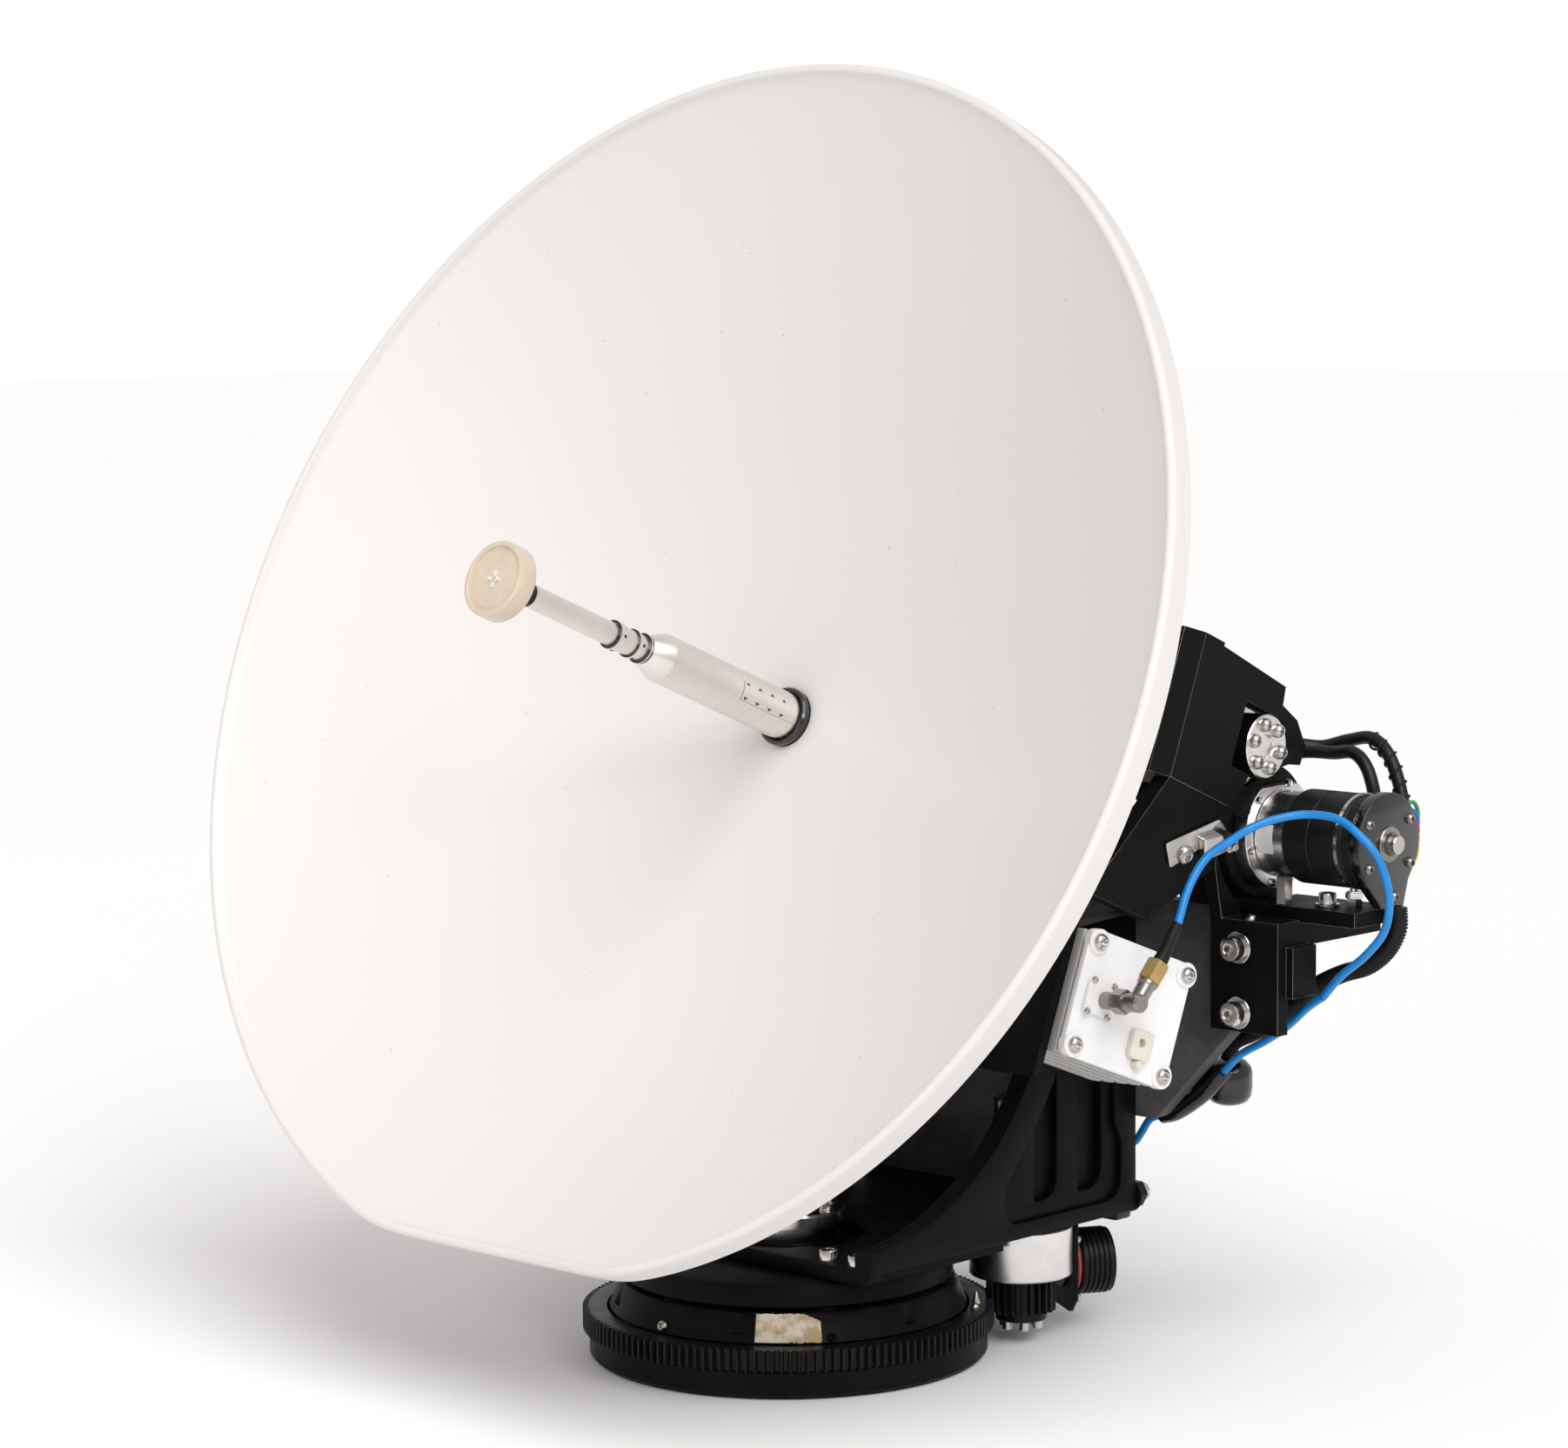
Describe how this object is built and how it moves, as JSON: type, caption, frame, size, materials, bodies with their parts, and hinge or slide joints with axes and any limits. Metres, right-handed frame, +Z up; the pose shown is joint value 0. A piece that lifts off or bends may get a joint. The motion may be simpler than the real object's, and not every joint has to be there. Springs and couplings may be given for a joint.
{
  "type": "stabilised dish antenna",
  "caption": "Marine dish antenna on a geared azimuth and elevation pedestal, with a front feed and subreflector, drive motors, a fork, and a converter box with its coaxial lead.",
  "frame": {"origin": "the azimuth axis on the underside of the base plate", "axes": "+Z up along the azimuth axis, the dish looks along -Y, the elevation axis runs along X with its motor on the +X side"},
  "size_m": [0.45, 0.3218, 0.4707],
  "materials": {
    "black_anodised": "black anodised, machined, satin",
    "steel": "bright machined",
    "aluminium": "turned, satin",
    "white_enamel": "painted white, semi-matt",
    "white_dish_paint": "warm white paint, satin",
    "cream_plastic": "translucent moulded plastic",
    "black_plastic": "satin black",
    "brass": "gold plated, bright",
    "blue_jacket": "smooth extruded jacket"
  },
  "bodies": {
    "base": {"base_plate": "black_anodised", "azimuth_ring_gear": "black_anodised", "bearing_ring": "black_anodised", "azimuth_bearing_outer": "steel", "slip_ring_stator": "steel"},
    "azimuth": {"turntable": "black_anodised", "azimuth_bearing_inner": "steel", "fork_base": "black_anodised", "slip_ring_cap": "aluminium", "slip_ring_rotor": "black_anodised", "cheek_right": "black_anodised", "cheek_left": "black_anodised", "rear_plate": "black_anodised", "arm_right": "black_anodised", "arm_left": "black_anodised", "elevation_bearing_right": "steel", "elevation_bearing_left": "steel", "rear_bolt": "steel", "azimuth_gearbox": "aluminium", "gearbox_plate": "black_anodised", "azimuth_motor": "black_plastic", "connector_bracket": "black_anodised", "deck_connector": "black_anodised", "motor_bracket": "black_anodised", "bracket_screw_1": "steel", "bracket_screw_2": "steel", "junction_box": "black_anodised", "rear_connector": "black_plastic", "motor_mount_ring": "black_anodised", "elevation_motor_flange": "steel", "elevation_motor": "black_plastic", "motor_end_plate": "black_anodised", "coax_lead": "blue_jacket", "motor_lead": "black_plastic", "signal_lead": "black_plastic"},
    "azimuth_pinion": {"azimuth_pinion": "steel"},
    "elevation": {"cradle_plate": "black_anodised", "cradle_side_right": "black_anodised", "cradle_side_left": "black_anodised", "elevation_shaft_right": "aluminium", "elevation_shaft_left": "aluminium", "elevation_sector_gear": "steel", "reflector": "white_dish_paint", "reflector_hub": "aluminium", "feed_gasket": "black_plastic", "polarisation_bracket": "black_anodised", "polarisation_motor": "black_plastic", "converter_box": "white_enamel", "converter_cover": "white_enamel", "coax_jack": "white_enamel", "coax_elbow": "steel", "coax_nut": "brass", "cable_clip": "steel"},
    "elevation_pinion": {"elevation_pinion": "steel"},
    "feed": {"feed_tube": "aluminium", "feed_collars": "aluminium", "feed_waveguide": "aluminium", "subreflector": "cream_plastic", "polarisation_gear": "aluminium"},
    "polarisation_pinion": {"polarisation_pinion": "steel"}
  },
  "joints": [
    {"name": "azimuth_turn", "type": "hinge", "parent": "base", "child": "azimuth", "pos_m": [0, 0, 0.03], "axis": [0, 0, 1], "continuous": true},
    {"name": "azimuth_pinion_spin", "type": "hinge", "parent": "azimuth", "child": "azimuth_pinion", "pos_m": [0.05592, 0.06665, 0.018], "axis": [0, 0, 1], "continuous": true},
    {"name": "elevation_tilt", "type": "hinge", "parent": "azimuth", "child": "elevation", "pos_m": [0, 0.104, 0.225], "axis": [-1, 0, 0], "range_deg": [-12.4, 67.6], "deforming": ["coax_lead"]},
    {"name": "elevation_pinion_spin", "type": "hinge", "parent": "azimuth", "child": "elevation_pinion", "pos_m": [0.091, 0.13189, 0.18968], "axis": [-1, 0, 0], "range_deg": [-240, 45]},
    {"name": "feed_rotation", "type": "hinge", "parent": "elevation", "child": "feed", "pos_m": [0, -0.06753, 0.26313], "axis": [0, -0.9243, 0.3816], "range_deg": [-90, 90]},
    {"name": "polarisation_pinion_spin", "type": "hinge", "parent": "elevation", "child": "polarisation_pinion", "pos_m": [0.0252, 0.05171, 0.21391], "axis": [0, -0.9243, 0.3816], "range_deg": [-185, 185]}
  ],
  "couplings": [
    {"joint": "azimuth_pinion_spin", "follows": "azimuth_turn", "ratio": 6.25},
    {"joint": "elevation_pinion_spin", "follows": "elevation_tilt", "ratio": -3.5},
    {"joint": "polarisation_pinion_spin", "follows": "feed_rotation", "ratio": -2}
  ]
}
